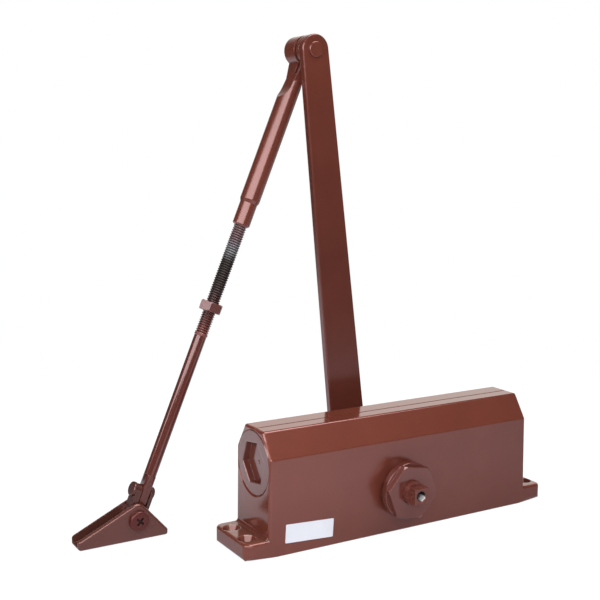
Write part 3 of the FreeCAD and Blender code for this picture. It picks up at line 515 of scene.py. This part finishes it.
def threaded(name):
    """The forearm's rod: enamel at both ends, worn to grey steel in the middle of the thread."""
    material, tree, shader = new_material(name)
    place = place_of(tree)
    spot = axes(tree, place)
    cloud = noise(tree, place, 420, 3, 0.5)
    wander = drift(tree, noise(tree, place, 260, 3, 0.6), -0.0015, 0.0015)
    height = total(tree, spot["Z"], wander)
    flat = rise(tree, spot["Z"], flat_top + 0.0002, flat_top)
    reach = apart(tree, spot["X"], spot["Y"])
    # painted shade in the thread's roots and painted highlight on its crests; the flattened end is
    # darker all over
    root_shade_and_flat_tone = total(tree, product(tree, span(tree, reach, *THREAD_DEPTHS, *THREAD_PAINTED_LIGHT), rest(tree, flat)),
                  product(tree, flat, FLAT_END_TONE))
    uneven = product(tree, root_shade_and_flat_tone, drift(tree, cloud, 0.92, 1.08))
    tone = times(tree, ramp(tree, rise(tree, height, *ROD_RANGE), ROD_TONES), uneven)
    tree.links.new(tone, shader.inputs["Base Color"])
    bare = maths(tree, "MINIMUM", rise(tree, height, *BARE_LOW), rise(tree, height, *BARE_HIGH))
    tree.links.new(span(tree, bare, 0, 1, 0.05, 0.45), shader.inputs["Metallic"])
    tree.links.new(span(tree, bare, 0, 1, 0.5, 0.0), shader.inputs["Coat Weight"])
    shader.inputs["Coat Roughness"].default_value = 0.10
    shader.inputs["Specular Tint"].default_value = (1.0, 0.72, 0.74, 1)
    shader.inputs["Specular IOR Level"].default_value = 0.7
    rough = total(tree, span(tree, bare, 0, 1, 0.11, 0.50), drift(tree, cloud, -0.04, 0.04))
    tree.links.new(rough, shader.inputs["Roughness"])
    relief(tree, shader, cloud, 0.00003, 0.3, 0.00008)
    return material


OUT_OF_CAP = (-0.0305, -0.0308)      # Y where the spindle leaves the front cap
TAP_WALL = (0.00301, 0.00306)        # radii just outside the tapped hole
TAP_MOUTH = (-0.0335, -0.0350)
TAP_SECTOR = (1.02, 1.30)            # where the painted glint lies: X less Z from the axis, over the radius
TAP_CENTRE = 0.001                   # no smaller radius counts in that
# painted shade and painted glint in the tapped hole
TAP_PAINTED_SHADE = (0.030, 0.024, 0.024)
TAP_PAINTED_GLINT = (0.80, 0.74, 0.74)
TAP_ENAMEL = 0.8                     # how far its mouth counts as painted


def spindle_finish(name, brown, bare):
    """Painted where the spindle stands out of the caps, ground steel inside them."""
    material, tree, shader = new_material(name)
    place = place_of(tree)
    spot = axes(tree, place)
    reach = apart(tree, spot["X"], spot["Z"], spindle.x, spindle.z)
    not_tap = rise(tree, reach, *TAP_WALL)
    painted = product(tree, rise(tree, spot["Y"], *OUT_OF_CAP), not_tap)
    mouth = product(tree, rest(tree, not_tap), rise(tree, spot["Y"], *TAP_MOUTH))
    cloud = noise(tree, place, 260, 4, 0.6)
    outer = mix_colour(tree, painted, shades(tree, cloud, bare, 0.75),
                       shades(tree, cloud, brown, 0.85))
    # painted shade: the tapped hole is dark, but for a painted glint on a sector at its lower right
    diagonal = maths(tree, "SUBTRACT", maths(tree, "SUBTRACT", spot["X"], spindle.x),
                     maths(tree, "SUBTRACT", spot["Z"], spindle.z))
    sector = maths(tree, "DIVIDE", diagonal, most(tree, reach, TAP_CENTRE))
    painted_glint = rise(tree, sector, *TAP_SECTOR)
    tone = mix_colour(tree, mouth, outer, mix_colour(tree, painted_glint, TAP_PAINTED_SHADE, TAP_PAINTED_GLINT))
    tree.links.new(tone, shader.inputs["Base Color"])
    smooth = most(tree, painted, product(tree, mouth, TAP_ENAMEL))
    tree.links.new(span(tree, smooth, 0, 1, 1.0, 0.0), shader.inputs["Metallic"])
    tree.links.new(drift(tree, cloud, 0.22, 0.32), shader.inputs["Roughness"])
    shader.inputs["Specular Tint"].default_value = (1.0, 0.72, 0.72, 1)
    relief(tree, shader, cloud, 0.00008, 0.3, 0.0002)
    return material


# ---------------------------------------------------------------- finishes
BROWN = (0.135, 0.034, 0.022)
CAP_BROWN = (0.105, 0.029, 0.021)
SIDE_GRAIN = (6000, 500, 500)
body_paint = paint("body_enamel", BROWN, 0.12, 0.0006, shade=body_painted_light, housing=True)
cap_paint = paint("cap_enamel", CAP_BROWN, 0.13, 0.0004)
plug_paint = paint("plug_enamel", (0.130, 0.037, 0.028), 0.12, 0.0003, housing=True)
arm_paint = paint("arm_enamel", (0.128, 0.031, 0.020), 0.22, 0.0005, shade=arm_painted_shade)
tube_paint = paint("tube_enamel", (0.130, 0.032, 0.021), 0.20, 0.0005, tint=(1.0, 0.84, 0.86),
                   lustre=tube_lustre)
shoe_paint = paint("shoe_enamel", (0.096, 0.030, 0.022), 0.24, 0.0004, shade=shoe_painted_shade)
screw_paint = paint("screw_enamel", (0.078, 0.016, 0.012), 0.32, 0.0003, shade=screw_painted_shade,
                    shine=0.5)
nut_paint = paint("nut_enamel", (0.112, 0.038, 0.032), 0.21, 0.0003, shine=0.88,
                  tint=(1.0, 0.93, 0.99))
plate_white = plain("label_film", (0.57, 0.58, 0.645), 0.35, 900, 0.00002)
rod_finish = threaded("rod_finish")
pinion_finish = spindle_finish("spindle_finish", CAP_BROWN, (0.50, 0.49, 0.50))
plated = steel("plated_steel", (0.52, 0.50, 0.47), 0.34)
spring_steel = steel("oiled_spring", (0.22, 0.22, 0.23), 0.36, (900, 900, 900))
iron = steel("ground_iron", (0.30, 0.30, 0.31), 0.40, SIDE_GRAIN)
bronze = steel("bronze", (0.62, 0.40, 0.20), 0.34, (500, 6000, 500))
brass = steel("brass", (0.72, 0.52, 0.24), 0.28, SIDE_GRAIN)
rubber = plain("black_rubber", (0.025, 0.025, 0.026), 0.62, 1800, 0.00006, 0.1)
ring_plastic = plain("ring_plastic", (0.62, 0.58, 0.50), 0.45, 1500, 0.00003)

FINISH = {
    "housing": body_paint, "label_plate": plate_white, "left_plug": plug_paint,
    "right_plug": plug_paint, "plug_seals": rubber, "front_cap": cap_paint, "rear_cap": cap_paint,
    "spindle_bearings": bronze, "spindle_seals": rubber, "pinion": pinion_finish, "piston": iron,
    "piston_ring": ring_plastic, "check_valve": brass, "closing_spring": spring_steel,
    "sweep_valve": plated, "latch_valve": plated, "main_arm": arm_paint, "arm_washer": plated,
    "arm_screw": plated, "elbow_pin": tube_paint, "forearm_tube": tube_paint,
    "elbow_washer": plated, "forearm_rod": rod_finish, "lock_nut": nut_paint,
    "knuckle": shoe_paint, "knuckle_pin": shoe_paint, "shoe": shoe_paint,
    "shoe_screw": screw_paint, "shoe_nut": plated}
for name, piece in NODES.items():
    piece.data.materials.clear()
    piece.data.materials.append(FINISH[name])

# ---------------------------------------------------------------- threaded rod
PITCH = 0.00145
DEPTH = 0.00062
CREST_SHARE = 0.10       # flat crest, as a share of the pitch
FLANK_SHARE = 0.78       # both flanks
INSET = 0.00004          # keeps the thread inside the CAD rod
RUNOUT_LOW = 0.002       # the groove fades out over these lengths
RUNOUT_TOP = 0.001
TOP_TAPER = 0.8          # the rod's upper end, as a share of the thread's radius
THREAD_FOOT = 0.0004     # from the thread's lower end to the plain shank
FLAT_SHOULDER = 0.00005  # from the shank to the flattened end
TIP_LENGTH = 0.0005      # bevel at the flattened end's tip
TIP_BEVEL = 0.0004
CORNERS = 5              # how square the flattened end is: 2 is round
AROUND = 48              # points in a ring
STEPS = 10               # rings in a pitch
SHARP = math.radians(40)


def held(value):
    return min(1.0, max(0.0, value))


def thread_radius(angle, z):
    phase = (z / PITCH + angle / (2 * math.pi)) % 1.0
    depth = held((abs(phase - 0.5) * 2 - CREST_SHARE) / FLANK_SHARE)
    fade = held((z - thread_low) / RUNOUT_LOW) * held((rod_top - z) / RUNOUT_TOP)
    return major - DEPTH * depth * fade - INSET


def top_radius(angle, z):
    return major * TOP_TAPER


def shank_radius(angle, z):
    return shank


def flat_radius(angle, z):
    """A flattened end with rounded corners."""
    across = (abs(math.cos(angle)) / flat_half) ** CORNERS
    along = (abs(math.sin(angle)) / flat_wide) ** CORNERS
    return (across + along) ** (-1 / CORNERS)


def tip_radius(angle, z):
    return flat_radius(angle, z) - TIP_BEVEL


def ring(z, radius_at):
    made = []
    for j in range(AROUND):
        angle = 2 * math.pi * j / AROUND
        r = radius_at(angle, z)
        made.append((r * math.cos(angle), r * math.sin(angle), z))
    return made


def grid_mesh(name, rows, material, body, matrix, replaced):
    """A closed tube through rings of points: rows is a list of rings, each a list of (x, y, z)."""
    points = [point for row in rows for point in row]
    faces = []
    for i in range(len(rows) - 1):
        for j in range(AROUND):
            k = (j + 1) % AROUND
            low, high = i * AROUND, (i + 1) * AROUND
            faces.append((low + j, low + k, high + k, high + j))
    faces.append(tuple(reversed(range(AROUND))))
    faces.append(tuple(range((len(rows) - 1) * AROUND, len(rows) * AROUND)))
    mesh = bpy.data.meshes.new(name)
    mesh.from_pydata(points, [], faces)
    mesh.update()
    mesh.validate()
    piece = bpy.data.objects.new(name, mesh)
    bpy.context.scene.collection.objects.link(piece)
    for face in mesh.polygons:
        face.use_smooth = True
    mesh.set_sharp_from_angle(angle=SHARP)
    mesh.materials.append(material)
    piece.matrix_world = matrix
    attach(piece, body)
    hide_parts(*replaced)


rows = [ring(rod_top, top_radius)]
count = int((rod_top - thread_low) / PITCH * STEPS)
for i in range(count + 1):
    rows.append(ring(rod_top - (rod_top - thread_low) * i / count, thread_radius))
for z, radius_at in (
        (thread_low - THREAD_FOOT, shank_radius), (flat_top + FLAT_SHOULDER, shank_radius),
        (flat_top, flat_radius), (rod_bottom + TIP_LENGTH, flat_radius), (rod_bottom, tip_radius)):
    rows.append(ring(z, radius_at))
rows.reverse()
grid_mesh("threaded_rod", rows, rod_finish, "rod_group", FOREARM, ("forearm_rod",))


# ---------------------------------------------------------------- closing spring
def short_spring(name, original, body):
    """A copy of the spring with a mesh of its own, attached to the closer's body in place of the
    CAD spring.
    """
    piece = bpy.data.objects.new(name, NODES[original].data.copy())
    bpy.context.scene.collection.objects.link(piece)
    piece.matrix_world = NODES[original].matrix_world
    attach(piece, body)
    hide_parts(original)
    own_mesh(piece)


short_spring("coil_spring", "closing_spring", "closer_body")


# ---------------------------------------------------------------- floor and light
def flag(tree, *names):
    """1 for a ray of any of these kinds."""
    path = node(tree, "ShaderNodeLightPath")
    return most(tree, *(path.outputs[name] for name in names))


def mirror_ray(tree):
    return flag(tree, "Is Glossy Ray", "Is Transmission Ray")


# The floor's bright pool: from a place to a place, in metres, and its brightness at each.
POOL_BY_PART = (0.03, 0.13, 0.52, 1.0)
POOL_FRONT = (-0.45, -0.22, 0.10, 1.0)
POOL_BACK = (0.45, 0.95, 1.0, 0.1)
POOL_LEFT = (-0.80, -0.25, 0.45, 1.0)
POOL_RIGHT = (0.30, -0.10, 0.62, 1.0)
POOL_COLOUR = (0.96, 1.04, 1.12, 1)
# From near to far, how clear the card is to the eye and what light evens out what is left of it.
CLEARNESS = (0.24, 0.36, 0.82, 1.0)
EVENING = (0.36, 0.46, 0.082, 0.0)


def floor_card(name):
    """A pale floor. Mirrors see a bright pool on it, and the eye sees little but its shadow."""
    material, tree, card = new_material(name)
    card.inputs["Roughness"].default_value = 0.9
    card.inputs["Specular IOR Level"].default_value = 0.0
    place = place_of(tree)
    tone = ramp(tree, noise(tree, place, 3, 3, 0.5), [(0.3, (0.80,) * 3), (0.7, (0.82,) * 3)])
    tree.links.new(tone, card.inputs["Base Color"])
    spot = axes(tree, place)
    near = span(tree, absolute(tree, spot["Y"]), *POOL_BY_PART)
    far = product(tree, span(tree, spot["Y"], *POOL_FRONT), span(tree, spot["Y"], *POOL_BACK))
    sides = product(tree, span(tree, spot["X"], *POOL_LEFT), span(tree, spot["X"], *POOL_RIGHT))
    pool = node(tree, "ShaderNodeEmission")
    pool.inputs["Color"].default_value = POOL_COLOUR
    tree.links.new(product(tree, near, far, sides), pool.inputs["Strength"])
    blend = node(tree, "ShaderNodeMixShader")
    tree.links.new(mirror_ray(tree), blend.inputs[0])
    tree.links.new(card.outputs[0], blend.inputs[1])
    tree.links.new(pool.outputs[0], blend.inputs[2])
    # the eye sees the white beyond the card, with the card's shadow near the object and a little
    # light to even it out, and from under the floor it sees no card at all
    away = apart(tree, spot["X"], spot["Y"])
    under = node(tree, "ShaderNodeNewGeometry").outputs["Backfacing"]
    eye = product(tree, flag(tree, "Is Camera Ray"), rest(tree, under))
    through = most(tree, under, product(tree, eye, span(tree, away, *CLEARNESS)))
    clear = node(tree, "ShaderNodeMixShader")
    tree.links.new(through, clear.inputs[0])
    tree.links.new(blend.outputs[0], clear.inputs[1])
    tree.links.new(node(tree, "ShaderNodeBsdfTransparent").outputs[0], clear.inputs[2])
    lift = node(tree, "ShaderNodeEmission")
    tree.links.new(product(tree, eye, span(tree, away, *EVENING)), lift.inputs["Strength"])
    whole = node(tree, "ShaderNodeAddShader")
    tree.links.new(clear.outputs[0], whole.inputs[0])
    tree.links.new(lift.outputs[0], whole.inputs[1])
    tree.links.new(whole.outputs[0], tree.nodes["Material Output"].inputs["Surface"])
    return material


FLOOR_Z = -0.0003
FLOOR_REACH = 6
SQUARE = ((-1, -1), (1, -1), (1, 1), (-1, 1))
corners = [(FLOOR_REACH * x, FLOOR_REACH * y, FLOOR_Z) for x, y in SQUARE]
floor_mesh = bpy.data.meshes.new("floor")
floor_mesh.from_pydata(corners, [], [(0, 1, 2, 3)])
floor = bpy.data.objects.new("floor", floor_mesh)
bpy.context.scene.collection.objects.link(floor)
floor_mesh.materials.append(floor_card("floor_card"))


# The screen that mirrors see, by the direction's Y, Z and X, and its light from none to full.
SCREEN_BEHIND = (-0.05, 0.35)
SCREEN_TOP = (0.60, 0.35)
SCREEN_LEFT = (-0.22, 0.10)
SCREEN_LIGHT = (0.03, 1.2)
AMBIENT = 0.20
AMBIENT_COLOUR = (0.97, 1.02, 0.95)


def studio(name):
    """White to the eye. Mirrors see one screen behind the part, and the rest is dim."""
    world = bpy.data.worlds.new(name)
    bpy.context.scene.world = world
    world.use_nodes = True
    tree = world.node_tree
    background = tree.nodes["Background"]
    direction = axes(tree, node(tree, "ShaderNodeTexCoord").outputs["Generated"])
    screen = product(tree, rise(tree, direction["Y"], *SCREEN_BEHIND),
                     rise(tree, direction["Z"], *SCREEN_TOP),
                     rise(tree, direction["X"], *SCREEN_LEFT))
    mirror = mirror_ray(tree)
    eye = flag(tree, "Is Camera Ray")
    strength = total(tree, product(tree, rest(tree, mirror), AMBIENT),
                     product(tree, mirror, span(tree, screen, 0, 1, *SCREEN_LIGHT)))
    tree.links.new(most(tree, strength, eye), background.inputs["Strength"])
    tree.links.new(mix_colour(tree, eye, AMBIENT_COLOUR, WHITE), background.inputs["Color"])


def towards(azimuth, elevation):
    """The direction of something seen from the part, from two angles in degrees."""
    a = math.radians(azimuth)
    e = math.radians(elevation)
    return Vector((math.sin(a) * math.cos(e), -math.cos(a) * math.cos(e), math.sin(e)))


AIM = Vector((-0.03, 0.03, 0.12))


def softbox(name, azimuth, elevation, distance, width, height, watts):
    light = bpy.data.lights.new(name, "AREA")
    light.shape = "RECTANGLE"
    light.size = width
    light.size_y = height
    light.energy = watts
    lamp = bpy.data.objects.new(name, light)
    bpy.context.scene.collection.objects.link(lamp)
    back = towards(azimuth, elevation)
    lamp.location = AIM + back * distance
    lamp.rotation_euler = back.to_track_quat("Z", "Y").to_euler()


studio("studio")
softbox("key", -47, 25, 0.95, 1.95, 0.50, 14.2)
softbox("overhead", 40, 68, 1.3, 0.95, 0.95, 18)

# ---------------------------------------------------------------- camera
AZIMUTH = -30.1642
ELEVATION = 8.6529
EYE = (-0.361575, -0.516307, 0.231305)
back = towards(AZIMUTH, ELEVATION)
right = Vector((math.cos(math.radians(AZIMUTH)), math.sin(math.radians(AZIMUTH)), 0))
up = back.cross(right)
lens = bpy.data.cameras.new("camera")
lens.sensor_width = 36
lens.lens = 63.936
lens.clip_start = 0.01
camera = bpy.data.objects.new("camera", lens)
bpy.context.scene.collection.objects.link(camera)
camera.matrix_world = Matrix.Translation(EYE) @ Matrix((right, up, back)).transposed().to_4x4()
bpy.context.scene.camera = camera
bpy.context.scene.view_settings.view_transform = "Standard"
